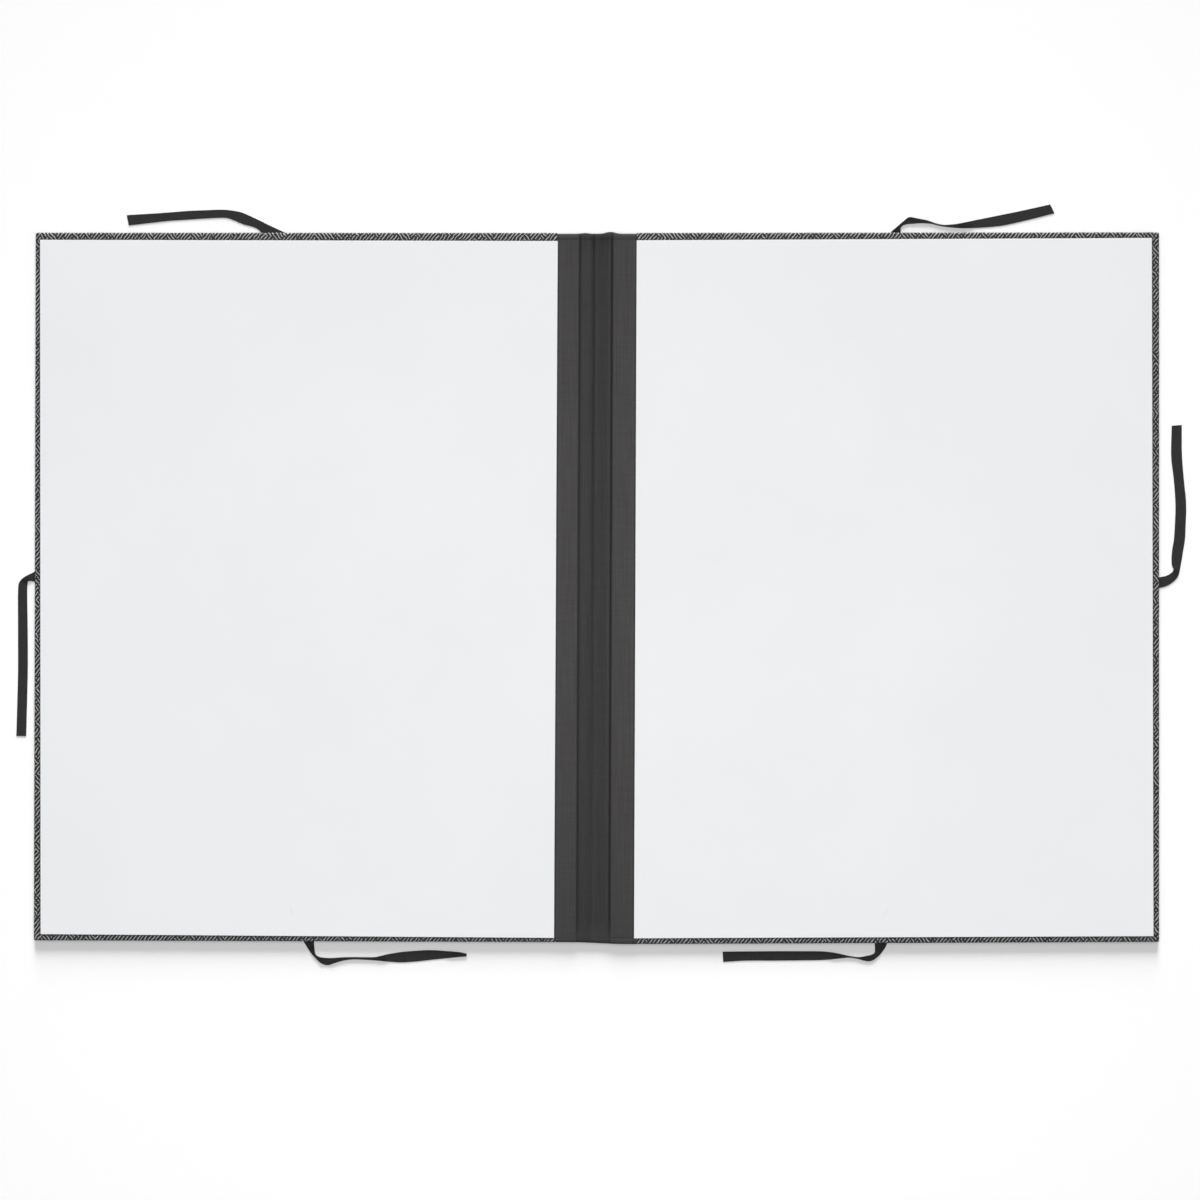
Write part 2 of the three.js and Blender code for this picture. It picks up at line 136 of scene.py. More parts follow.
# The two selvedges of each tie as seen from above, from its slit to its cut end. Each stop is the left
# selvedge's x and y and then the right one's, looking along the ribbon. They are measured from the point
# where it leaves the cover.
TIE_EDGES = {
    "tie_head_left": [
        (-0.0050, -0.0180, 0.0050, -0.0180), (-0.0070, -0.0138, 0.0012, -0.0082),
        (-0.0170, -0.0112, -0.0126, -0.0023), (-0.0290, -0.0058, -0.0248, 0.0033),
        (-0.0424, 0.0004, -0.0382, 0.0095), (-0.0457, 0.0039, -0.0424, 0.0117),
        (-0.0494, 0.0061, -0.0466, 0.0137), (-0.0543, 0.0078, -0.0513, 0.0159),
        (-0.0588, 0.0088, -0.0560, 0.0181), (-0.0644, 0.0110, -0.0616, 0.0204),
        (-0.0704, 0.0136, -0.0683, 0.0219), (-0.0760, 0.0153, -0.0746, 0.0228),
        (-0.0821, 0.0155, -0.0816, 0.0231), (-0.0961, 0.0148, -0.0965, 0.0226),
        (-0.1110, 0.0138, -0.1115, 0.0220), (-0.1286, 0.0127, -0.1292, 0.0206),
        (-0.1452, 0.0109, -0.1460, 0.0194), (-0.1572, 0.0095, -0.1581, 0.0187),
        (-0.1674, 0.0083, -0.1693, 0.0180),
    ],
    "tie_head_right": [
        (-0.0050, -0.0180, 0.0050, -0.0180), (-0.0006, -0.0080, 0.0093, -0.0085),
        (0.0039, 0.0013, 0.0136, 0.0016), (0.0092, 0.0061, 0.0136, 0.0045),
        (0.0126, 0.0090, 0.0141, 0.0067), (0.0164, 0.0122, 0.0160, 0.0083),
        (0.0215, 0.0161, 0.0197, 0.0095), (0.0262, 0.0156, 0.0256, 0.0100),
        (0.0313, 0.0145, 0.0313, 0.0105), (0.0383, 0.0131, 0.0379, 0.0104),
        (0.0430, 0.0115, 0.0425, 0.0100), (0.0481, 0.0098, 0.0479, 0.0086),
        (0.0537, 0.0088, 0.0537, 0.0075), (0.0593, 0.0090, 0.0593, 0.0067),
        (0.0649, 0.0095, 0.0649, 0.0062), (0.0715, 0.0107, 0.0715, 0.0058),
        (0.0840, 0.0134, 0.0854, 0.0061), (0.0938, 0.0154, 0.0952, 0.0067),
        (0.1062, 0.0179, 0.1083, 0.0081), (0.1259, 0.0219, 0.1284, 0.0124),
        (0.1534, 0.0280, 0.1575, 0.0197),
    ],
    "tie_fore_right": [
        (-0.0180, 0.0050, -0.0180, -0.0050), (-0.0100, 0.0039, -0.0100, -0.0061),
        (0.0002, 0.0036, 0.0002, -0.0065), (0.0037, 0.0041, 0.0044, -0.0057),
        (0.0074, 0.0049, 0.0088, -0.0043), (0.0104, 0.0062, 0.0132, -0.0016),
        (0.0124, 0.0076, 0.0164, 0.0012), (0.0141, 0.0093, 0.0187, 0.0044),
        (0.0148, 0.0110, 0.0201, 0.0090), (0.0133, 0.0146, 0.0215, 0.0154),
        (0.0128, 0.0207, 0.0227, 0.0219), (0.0134, 0.0288, 0.0237, 0.0285),
        (0.0149, 0.0381, 0.0253, 0.0384), (0.0160, 0.0533, 0.0260, 0.0512),
        (0.0165, 0.0722, 0.0265, 0.0722), (0.0149, 0.0957, 0.0243, 0.0957),
        (0.0126, 0.1154, 0.0226, 0.1183), (0.0130, 0.1452, 0.0224, 0.1460),
    ],
    "tie_fore_left": [
        (0.0180, -0.0050, 0.0180, 0.0050), (0.0100, -0.0020, 0.0100, 0.0080),
        (-0.0004, -0.0008, -0.0000, 0.0094), (-0.0031, -0.0002, -0.0038, 0.0076),
        (-0.0058, 0.0002, -0.0075, 0.0058), (-0.0075, -0.0001, -0.0118, 0.0032),
        (-0.0080, -0.0021, -0.0147, 0.0006), (-0.0082, -0.0045, -0.0163, -0.0023),
        (-0.0083, -0.0082, -0.0168, -0.0068), (-0.0083, -0.0161, -0.0170, -0.0161),
        (-0.0080, -0.0362, -0.0169, -0.0362), (-0.0078, -0.0549, -0.0169, -0.0549),
        (-0.0078, -0.0833, -0.0169, -0.0833), (-0.0084, -0.1108, -0.0175, -0.1108),
        (-0.0093, -0.1448, -0.0185, -0.1448),
    ],
    "tie_tail_left": [
        (0.0050, 0.0180, -0.0050, 0.0180), (0.0051, 0.0090, -0.0049, 0.0090),
        (0.0057, -0.0005, -0.0042, 0.0001), (0.0059, -0.0057, -0.0009, -0.0057),
        (0.0063, -0.0104, 0.0032, -0.0116), (0.0073, -0.0130, 0.0059, -0.0148),
        (0.0102, -0.0149, 0.0089, -0.0179), (0.0143, -0.0157, 0.0126, -0.0211),
        (0.0187, -0.0160, 0.0183, -0.0228), (0.0238, -0.0160, 0.0243, -0.0210),
        (0.0317, -0.0155, 0.0317, -0.0187), (0.0410, -0.0153, 0.0410, -0.0173),
        (0.0527, -0.0154, 0.0527, -0.0175), (0.0630, -0.0152, 0.0630, -0.0182),
        (0.0742, -0.0126, 0.0742, -0.0194), (0.0868, -0.0105, 0.0868, -0.0202),
        (0.0993, -0.0094, 0.0993, -0.0195), (0.1152, -0.0087, 0.1161, -0.0177),
        (0.1311, -0.0097, 0.1311, -0.0161), (0.1423, -0.0108, 0.1423, -0.0149),
        (0.1482, -0.0120, 0.1482, -0.0145),
    ],
    "tie_tail_right": [
        (0.0050, 0.0180, -0.0050, 0.0180), (0.0030, 0.0090, -0.0074, 0.0090),
        (0.0013, -0.0016, -0.0104, -0.0016), (-0.0003, -0.0057, -0.0103, -0.0055),
        (-0.0024, -0.0090, -0.0103, -0.0088), (-0.0055, -0.0127, -0.0104, -0.0110),
        (-0.0085, -0.0155, -0.0117, -0.0122), (-0.0120, -0.0180, -0.0146, -0.0133),
        (-0.0160, -0.0191, -0.0181, -0.0141), (-0.0206, -0.0184, -0.0214, -0.0148),
        (-0.0253, -0.0170, -0.0256, -0.0153), (-0.0298, -0.0161, -0.0298, -0.0149),
        (-0.0346, -0.0156, -0.0346, -0.0141), (-0.0393, -0.0159, -0.0393, -0.0131),
        (-0.0455, -0.0166, -0.0455, -0.0117), (-0.0526, -0.0175, -0.0526, -0.0105),
        (-0.0619, -0.0180, -0.0619, -0.0098), (-0.0812, -0.0183, -0.0812, -0.0097),
        (-0.1050, -0.0185, -0.1050, -0.0097), (-0.1319, -0.0186, -0.1319, -0.0099),
        (-0.1520, -0.0198, -0.1526, -0.0101),
    ],
}

# Where the selvedges come close together the ribbon is gathered into lengthwise pleats, as a tie is after
# many knots. The ribbon starts to gather at one seen width and is fully gathered at the other.
GATHER_FROM = 0.0078
GATHER_FULL = 0.0058
GATHER_CLEAR = 0.001
GATHER_RISE = 0.003
STEEPEST = math.radians(52)
LEGS = 4
BEND_FLAT = 0.11
BEND_SHUT = 0.04

# Half a section's points as shares of its half width, four of them round each bend between two legs
BEND_POINTS = (-0.06, -0.02, 0.02, 0.06)
HALF_SECTION = np.unique(np.round(np.concatenate(
    [np.arange(LEGS + 1) / LEGS + shift for shift in BEND_POINTS]), 3).clip(0, 1))


def gathered(steepness):
    """Half a section of gathered ribbon, from its middle out: distances outward, heights and slopes."""
    bend = BEND_FLAT + (BEND_SHUT - BEND_FLAT) * steepness / STEEPEST
    turns, signs = [0.0], [0]
    for leg in range(LEGS):
        turns.extend((leg / LEGS + bend / 2, (leg + 1) / LEGS - bend / 2))
        signs.extend([1 - 2 * (leg % 2)] * 2)
    slopes = steepness * np.interp(HALF_SECTION, turns, signs)
    steps = np.diff(HALF_SECTION) * RIBBON_WIDTH / 2
    between = (slopes[1:] + slopes[:-1]) / 2
    outward = np.concatenate(((0,), np.cumsum(steps * np.cos(between))))
    heights = np.concatenate(((0,), np.cumsum(steps * np.sin(between))))
    return outward, heights - heights.min(), slopes


def curve_through(stops, steps):
    """Points on a centripetal curve through the stops, with so many steps after each."""
    stops = [2 * stops[0] - stops[1], *stops, 2 * stops[-1] - stops[-2]]
    made = []
    for i in range(1, len(stops) - 2):
        p0, p1, p2, p3 = stops[i - 1:i + 3]
        t1 = (p1 - p0).length ** 0.5
        t2 = t1 + (p2 - p1).length ** 0.5
        t3 = t2 + (p3 - p2).length ** 0.5
        for k in range(steps[i - 1]):
            t = t1 + (t2 - t1) * k / steps[i - 1]
            a1 = p0 * (t1 - t) / t1 + p1 * t / t1
            a2 = p1 * (t2 - t) / (t2 - t1) + p2 * (t - t1) / (t2 - t1)
            a3 = p2 * (t3 - t) / (t3 - t2) + p3 * (t - t2) / (t3 - t2)
            b1 = a1 * (t2 - t) / t2 + a2 * t / t2
            b2 = a2 * (t3 - t) / (t3 - t1) + a3 * (t - t1) / (t3 - t1)
            made.append(b1 * (t2 - t) / (t2 - t1) + b2 * (t - t1) / (t2 - t1))
    made.append(stops[-2])
    return made


def ribbon_way(name):
    """The tie's left and right selvedge seen from above, and how steep its pleats are, all along it."""
    _, rim, outward = TIE_EXITS[name]
    rim = Vector(rim)
    outward = Vector(outward)
    lefts = [Vector(stop[:2]) for stop in TIE_EDGES[name]]
    rights = [Vector(stop[2:]) for stop in TIE_EDGES[name]]
    middles = [(a + b) / 2 for a, b in zip(lefts, rights)]
    lengths = [(b - a).length for a, b in zip(middles, middles[1:])]
    steps = [max(LEAST_STEPS, round(length / RIBBON_STEP)) for length in lengths]
    lefts = curve_through(lefts, steps)
    rights = curve_through(rights, steps)
    middles = [(a + b) / 2 for a, b in zip(lefts, rights)]
    steepnesses = []
    for i, middle in enumerate(middles):
        along = (middles[min(i + 1, len(middles) - 1)] - middles[max(i - 1, 0)]).normalized()
        seen = abs(along.cross(lefts[i] - rights[i]))
        steepness = float(np.interp(seen, (GATHER_FULL, GATHER_FROM), (STEEPEST, 0)))
        clear = (middle.dot(outward) - GATHER_CLEAR) / GATHER_RISE
        steepnesses.append(steepness * min(max(clear, 0.0), 1.0))
    return [rim + point for point in lefts], [rim + point for point in rights], steepnesses


def ribbon_section(left, right, steepness):
    """Points of one section, over and under, and the places on the ribbon that they hold."""
    outward, heights, slopes = gathered(steepness)
    half = Vector((*(left - right) / 2, 0))
    middle = Vector((*(left + right) / 2, 0))
    sideways = half.normalized()
    upper = []
    for sign, order in ((-1, range(len(HALF_SECTION) - 1, 0, -1)), (1, range(len(HALF_SECTION)))):
        for k in order:
            height = heights[k] + RIBBON_THICKNESS / 2
            point = middle + half * (sign * outward[k] / outward[-1])
            facing = Vector((0, 0, math.cos(slopes[k]))) - sideways * (sign * math.sin(slopes[k]))
            edge = SELVEDGE_SHARE if k == len(HALF_SECTION) - 1 else 1.0
            upper.append((point + Vector((0, 0, height)), facing * edge * RIBBON_THICKNESS / 2,
                          sign * HALF_SECTION[k] * RIBBON_WIDTH / 2))
    over = [(point + offset, across) for point, offset, across in upper]
    under = [(point - offset, across) for point, offset, across in reversed(upper)]
    centre = middle + Vector((0, 0, (heights.max() + RIBBON_THICKNESS) / 2))
    return over + under, centre


def ribbon(name):
    """A woven ribbon from its slit under the cover to its cut end."""
    body, rim, outward = TIE_EXITS[name]
    sections = [ribbon_section(*stop) for stop in zip(*ribbon_way(name))]
    slit = Vector(rim) - Vector(outward) * SLIT_INSET
    across = Vector((-outward[1], outward[0])) * RIBBON_WIDTH / 2
    for depth in (RIBBON_THICKNESS, SLIT_DEPTH):
        flat, centre = ribbon_section(slit + across, slit - across, 0.0)
        lift = Vector((0, 0, depth))
        turned = []
        for point, width in flat:
            side = Vector((*outward, 0)) * (point.z - centre.z)
            turned.append((Vector((point.x, point.y, 0)) + side + lift, width))
        sections.insert(0, (turned, centre + lift))
    points, places = [], []
    run = 0.0
    for i, (section, centre) in enumerate(sections):
        if i:
            run += (centre - sections[i - 1][1]).length
        points.extend(point for point, _ in section)
        places.extend((run, width, 0.0) for _, width in section)
    ring = len(sections[0][0])
    faces = grid_faces(len(sections), ring, closed_rows=True)
    faces.append(tuple(range(ring)))
    faces.append(tuple(reversed(range((len(sections) - 1) * ring, len(sections) * ring))))
    piece = mesh_object(f"{name}_ribbon", points, faces, places)
    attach(piece, body)
    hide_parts(name)
    return piece


ribbons = [ribbon(name) for name in TIE_EXITS]


# Levels and measures of the covers, taken from the frame

board_low, board_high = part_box("right_board")
infill_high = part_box("right_infill")[1]
lining_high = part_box("right_lining")[1]
paper_low, paper_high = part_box("right_cover_paper")
cloth_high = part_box("right_inner_cloth")[1]

UNDER_SKIN = paper_low.z
UNDER_BOARD = board_low.z
OVER_BOARD = board_high.z
OVER_TURN_IN = paper_high.z
OVER_LINING = lining_high.z
OVER_WING = cloth_high.z
SKIN = UNDER_BOARD - UNDER_SKIN
CLOTH_EDGE = paper_low.x
TURN_IN = FORE_EDGE - infill_high.x

# How far each corner of a cover lies from its place in the frame, in metres.
# A hand-made cover isn't quite square.
SPINE_HEAD, FORE_HEAD, FORE_TAIL, SPINE_TAIL = range(4)
CORNER_SHIFTS = {
    -1: [(0.0, 0.0011), (0.0002, 0.0013), (-0.0016, 0.0008), (0.0, -0.0011)],
    1: [(0.0, 0.0011), (0.0007, 0.0016), (0.0007, -0.0007), (0.0, -0.0029)],
}

# The corners of each lining as cut and pasted: at the head, then at the tail
LINING_CORNERS = {
    -1: [(-0.0361, 0.3233), (-0.5195, 0.3245), (-0.5190, -0.3233), (-0.0396, -0.3268)],
    1: [(0.0366, 0.3240), (0.5176, 0.3262), (0.5192, -0.3252), (0.0341, -0.3272)],
}

# Where the spine edge of each board shows through the cloth
BOARD_SPINE_EDGE = {-1: 0.0212, 1: 0.0185}
SIDES = {-1: "left", 1: "right"}


def bilinear(corners, u, v):
    """A point in a four-sided patch: u from spine to fore edge, v from head to tail."""
    head = [a + (b - a) * u for a, b in zip(corners[SPINE_HEAD], corners[FORE_HEAD])]
    tail = [a + (b - a) * u for a, b in zip(corners[SPINE_TAIL], corners[FORE_TAIL])]
    return [a + (b - a) * v for a, b in zip(head, tail)]


def settled(x, y):
    """A point of the frame moved as the cover's corners are."""
    side = 1 if x > 0 else -1
    u = abs(x) / FORE_EDGE
    v = (HEAD_EDGE - y) / (2 * HEAD_EDGE)
    dx, dy = bilinear(CORNER_SHIFTS[side], u, v)
    return x + dx * u, y + dy


# The boards and infill cards

# The boards end a little inside their wrapping at the head and the tail.
BOARD_SHORT = 0.0012
BOARD_WEAR = 0.0004
CARD_WEAR = 0.0001


def slab(name, side, near, far, half_height, low, high, edge):
    """A board with slightly worn edges."""
    half_height -= BOARD_SHORT
    rings = [(edge, low), (0.0, low + edge), (0.0, high - edge), (edge, high)]
    points = []
    for inset, z in rings:
        for x, y in [(near + inset, -half_height + inset), (far - inset, -half_height + inset),
                     (far - inset, half_height - inset), (near + inset, half_height - inset)]:
            points.append((*settled(side * x, y), z))
    faces = grid_faces(len(rings), 4, closed_rows=True)
    faces.append((3, 2, 1, 0))
    last = (len(rings) - 1) * 4
    faces.append(tuple(range(last, last + 4)))
    if side < 0:
        faces = [tuple(reversed(face)) for face in faces]
    return mesh_object(name, points, faces, smooth=False)


def make_boards():
    """The board and the infill card of each cover."""
    made = []
    for side, word in SIDES.items():
        near = BOARD_SPINE_EDGE[side]
        board = slab(f"{word}_greyboard", side, near, board_high.x, board_high.y, UNDER_BOARD,
                     OVER_BOARD, edge=BOARD_WEAR)
        card = slab(f"{word}_infill_card", side, near, infill_high.x, infill_high.y, OVER_BOARD,
                    OVER_TURN_IN, edge=CARD_WEAR)
        for piece, node, look in [(board, f"{word}_board", "board"), (card, f"{word}_infill", "infill")]:
            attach(piece, f"{word}_cover")
            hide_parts(node)
        made.append((board, card))
    return made


boards = make_boards()


# The leatherette paper, wrapped over three edges of each cover

# Distances in from the edge and levels, from the end of the turn-in round the edge to the outer face
WRAP_PROFILE = [
    (TURN_IN, OVER_TURN_IN), (0.0100, OVER_TURN_IN),
    *[(0.0085 - 0.0007 * i, OVER_TURN_IN) for i in range(8)],
    (0.0014, OVER_TURN_IN - 0.00002), (0.0007, OVER_TURN_IN - 0.0002), (0.0002, OVER_TURN_IN - 0.0006),
    (0.0, OVER_TURN_IN - 0.0012), (0.0, UNDER_SKIN + 0.0012), (0.0002, UNDER_SKIN + 0.0006),
    (0.0007, UNDER_SKIN + 0.0002), (0.0014, UNDER_SKIN), (0.0100, UNDER_SKIN), (0.0300, UNDER_SKIN),
]
CORNER_RADIUS = 0.0012
CORNER_STEPS = 6
LEAST_RADIUS = 0.0002
HEAD_STEPS = 120
FORE_STEPS = 160

# The paper's edge wanders a little in and out, and its turned-in border a little up and down.
EDGE_WANDER = 0.00015
WANDER_SCALE = 60
WANDER_SCALE_UP = 200
WANDER_LIFT = 0.3
EDGE_ZONE = 0.002
BORDER_ZONE = 0.01

# Painted shade: the paper is darker in the corner against the lining, where the lining's edge shades it:
# distances from the lining and shares of colour
LINING_SHADOW_PLACES = (0.0, 0.0009, 0.0020)
LINING_SHADOW_SHARES = (0.55, 0.60, 1.0)


def wrap_outline(inset):
    """Points from the spine's head round the fore edge to the spine's tail, for the right cover."""
    far = FORE_EDGE - inset
    high = HEAD_EDGE - inset
    radius = max(CORNER_RADIUS - inset, LEAST_RADIUS)
    head = [(CLOTH_EDGE + (far - radius - CLOTH_EDGE) * i / HEAD_STEPS, high) for i in range(HEAD_STEPS)]
    corner = [
        (far - radius + radius * math.sin(a), high - radius + radius * math.cos(a))
        for a in [math.pi / 2 * i / CORNER_STEPS for i in range(CORNER_STEPS + 1)]
    ]
    fore = [(far, (high - radius) * (1 - 2 * i / FORE_STEPS)) for i in range(1, FORE_STEPS)]
    below = [(x, -y) for x, y in reversed(head + corner)]
    return head + corner + fore + below


def off_lining(side, x, y):
    """How far a place on the border lies outside the lining."""
    corners = LINING_CORNERS[side]
    v = (HEAD_EDGE - y) / (2 * HEAD_EDGE)
    u = abs(x) / FORE_EDGE
    across = side * (x - bilinear(corners, 1.0, v)[0])
    head = y - bilinear(corners, u, 0.0)[1]
    tail = bilinear(corners, u, 1.0)[1] - y
    return max(across, head, tail)


def outer_face(first, columns):
    """The cover's outer face: strips from head to tail, and a fan beside the fore edge."""
    faces = []
    for i in range(HEAD_STEPS - 1):
        faces.append((first + i, first + i + 1, first + columns - 2 - i, first + columns - 1 - i))
    corner = first + HEAD_STEPS - 1
    for j in range(corner + 1, first + columns - HEAD_STEPS):
        faces.append((corner, j, j + 1))
    return faces


def wrap_cover(side):
    """The leatherette paper of one cover."""
    word = SIDES[side]
    points, shades = [], []
    for inset, z in WRAP_PROFILE:
        for x, y in wrap_outline(inset):
            spot = Vector((x * WANDER_SCALE, y * WANDER_SCALE, z * WANDER_SCALE_UP + side))
            wander = noise.noise(spot) * EDGE_WANDER
            edge = 1.0 if inset < EDGE_ZONE else 0.0
            lift = 1 if inset < BORDER_ZONE and z > UNDER_BOARD else 0
            sx, sy = settled(side * x, y)
            points.append((sx - side * abs(wander) * edge, sy - math.copysign(abs(wander) * edge, y),
                           z + wander * WANDER_LIFT * lift))
            # Painted shadow of the lining's edge, on the turn-in only
            lining_shadow = float(np.interp(off_lining(side, sx, sy), LINING_SHADOW_PLACES, LINING_SHADOW_SHARES))
            shades.append(lining_shadow if z > OVER_BOARD else 1.0)
    columns = len(wrap_outline(0.0))
    faces = grid_faces(len(WRAP_PROFILE), columns)
    faces += outer_face((len(WRAP_PROFILE) - 1) * columns, columns)
    if side < 0:
        faces = [tuple(reversed(face)) for face in faces]
    piece = mesh_object(f"{word}_leatherette", points, faces, shades=shades)
    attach(piece, f"{word}_cover")
    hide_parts(f"{word}_cover_paper")
    return piece


wraps = {side: wrap_cover(side) for side in SIDES}


# The white linings

LINING_SAG = 0.00006
SAG_SCALE = 6
LINING_TUCK = 0.00005
LINING_GRID = (64, 84)
EDGE_SHARES = (0.0, 0.0001, 0.0002, 0.0004)


def lining_shares(count):
    """Where the mesh of a lining has its rows, as shares of its side, close together at both edges."""
    between = [i / count for i in range(1, count)]
    far_edge = [1 - share for share in reversed(EDGE_SHARES)]
    return [*EDGE_SHARES, *between, *far_edge]


def paste_lining(side):
    """The lining of one cover, with its edges pressed down."""
    word = SIDES[side]
    corners = LINING_CORNERS[side]
    shares_u, shares_v = [lining_shares(count) for count in LINING_GRID]
    points = []
    for v in shares_v:
        for u in shares_u:
            x, y = bilinear(corners, u, v)
            at_edge = u in (0.0, 1.0) or v in (0.0, 1.0)
            swell = noise.noise(Vector((x * SAG_SCALE, y * SAG_SCALE, side))) * LINING_SAG
            points.append((x, y, OVER_TURN_IN - LINING_TUCK if at_edge else OVER_LINING + swell))
    faces = grid_faces(len(shares_v), len(shares_u))
    if side > 0:
        faces = [tuple(reversed(face)) for face in faces]
    piece = mesh_object(f"{word}_lining_sheet", points, faces)
    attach(piece, f"{word}_cover")
    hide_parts(f"{word}_lining")
    return piece


linings = {side: paste_lining(side) for side in SIDES}


# The spine: an inner and an outer cloth, each made as a left and a right half

CREASE = -0.0039
CREASE_FADE = (0.10, -0.24)
CREASE_LEAST = 0.1
HALF_STRIP = 0.0372
SPINE_LEAN = 0.0043

# Height of the inner cloth's face across the spine, as distances and levels in metres
SPINE_PROFILE = [
    (-0.0600, OVER_WING), (-0.0190, OVER_WING), (-0.0183, 0.0042), (-0.0177, 0.0026), (-0.0171, 0.0017),
    (-0.0164, 0.0022), (-0.0150, 0.0029), (-0.0120, 0.0032), (-0.0085, 0.0031), (-0.0060, 0.0028),
    (-0.0039, 0.0023), (-0.0022, 0.0028), (0.0000, 0.0029), (0.0040, 0.0027), (0.0075, 0.0029),
    (0.0100, 0.0034), (0.0115, 0.0034), (0.0122, 0.0025), (0.0128, 0.0014), (0.0134, 0.0022),
    (0.0139, 0.0041), (0.0145, OVER_WING), (0.0600, OVER_WING),
]
CREASE_DEPTH = 0.0010
CREASE_WIDTH = 0.0010
PROFILE_BLUR = (-0.0003, 0.0, 0.0003)
END_LEVEL = 0.0038
END_REACH = 0.009

# The cloth puckers a little on the boards and more between them.
SPINE_PUCKER = 0.00010
PUCKER_SCALE_ACROSS = 90
PUCKER_SCALE_ALONG = 14
PUCKER_ON_BOARD = 0.3
PUCKER_BETWEEN = 3
BOARD_PLACE = 0.019

# How much of its colour the cloth keeps across the spine, at the head and at the tail: painted shade,
# darkest in the grooves and the crease and darker between the boards than on them
PAINTED_SHADE_PLACES = (-0.0186, -0.0179, -0.0174, -0.0168, -0.0162, -0.0145, -0.0100, -0.0070, -0.0050, -0.0039,
                -0.0026, 0.0005, 0.0040, 0.0080, 0.0105, 0.0120, 0.0125, 0.0131, 0.0136, 0.0144)
PAINTED_SHADE_HEAD = (1.0, 0.86, 0.30, 0.30, 0.68, 0.76, 0.74, 0.65, 0.52, 0.34,
              0.69, 0.61, 0.53, 0.59, 0.74, 0.70, 0.20, 0.20, 0.86, 1.0)
PAINTED_SHADE_TAIL = (1.0, 0.80, 0.38, 0.38, 0.66, 0.67, 0.62, 0.58, 0.59, 0.62,
              0.70, 0.68, 0.64, 0.68, 0.78, 0.70, 0.32, 0.32, 0.84, 1.0)

# The cloth is palest half-way down the spine and darker towards both ends
PALEST_PLACE = 0.035
ENDWARD_DARKENING = 1.8
# Painted shadow and highlight along the inner cloth's edge against the lining: a dark line at the edge and
# a paler band just inside it, as distances from the edge and shares of colour
EDGE_PLACES = (0.0, 0.0007, 0.0016, 0.0024, 0.0036)
EDGE_SHADOW_AND_HIGHLIGHT = (0.72, 0.72, 1.10, 1.10, 1.0)


def spine_level(x, y):
    """Level of the inner cloth's face at a place on the strip."""
    x -= SPINE_LEAN * y
    xs, zs = zip(*SPINE_PROFILE)
    level = sum(np.interp(x + d, xs, zs) for d in PROFILE_BLUR) / len(PROFILE_BLUR)
    start, stop = CREASE_FADE
    strength = min(max((y - stop) / (start - stop), CREASE_LEAST), 1.0)
    level -= strength * CREASE_DEPTH * math.exp(-((x - CREASE) / CREASE_WIDTH) ** 2)
    between = max(0.0, 1 - abs(x) / BOARD_PLACE)
    if level < END_LEVEL:
        level += (END_LEVEL - level) * math.exp(-((HEAD_EDGE - abs(y)) / END_REACH) ** 2)
    pucker = noise.noise(Vector((x * PUCKER_SCALE_ACROSS, y * PUCKER_SCALE_ALONG, 3.0)))
    level += pucker * SPINE_PUCKER * (PUCKER_ON_BOARD + PUCKER_BETWEEN * between)
    return float(level)


def cloth_painted_shade(side, x, y):
    """How much of its colour the cloth keeps at a place, with painted shade in the grooves, the crease and
    along its edge.
    """
    leaning = x - SPINE_LEAN * y
    share = min(max((HEAD_EDGE - y) / (2 * HEAD_EDGE), 0.0), 1.0)
    head = np.interp(leaning, PAINTED_SHADE_PLACES, PAINTED_SHADE_HEAD)
    tail = np.interp(leaning, PAINTED_SHADE_PLACES, PAINTED_SHADE_TAIL)
    inside = abs(strip_edge(side, y) - x)
    edge = np.interp(inside, EDGE_PLACES, EDGE_SHADOW_AND_HIGHLIGHT)
    lengthwise = 1 - ENDWARD_DARKENING * (y - PALEST_PLACE) ** 2
    return float(head + (tail - head) * share) * float(edge) * lengthwise


def strip_edge(side, y):
    """The edge of the inner cloth against the lining."""
    head, tail = LINING_CORNERS[side][SPINE_HEAD], LINING_CORNERS[side][SPINE_TAIL]
    return head[0] + (tail[0] - head[0]) * (head[1] - y) / (head[1] - tail[1])


COLUMN_STEP = 0.0004


def strip_columns(side, edge):
    """Distances across half the strip."""
    start, stop = (edge, CREASE) if side < 0 else (CREASE, edge)
    count = math.ceil((stop - start) / COLUMN_STEP)
    return [float(x) for x in np.linspace(start, stop, count + 1)]


STRIP_ENDS = {"head": 0.3242, "tail": -0.3268}
STRIP_OVERLAP = 0.0008
STRIP_REACH = 0.0380
STRIP_ROWS = 221

# The first rows at each end lie close together, and the cut end is painted a little darker as shade.
END_STEPS = (0.0, 0.0001, 0.0002, 0.0004)
END_BAND = 0.0010
END_PAINTED_SHADE = 0.93


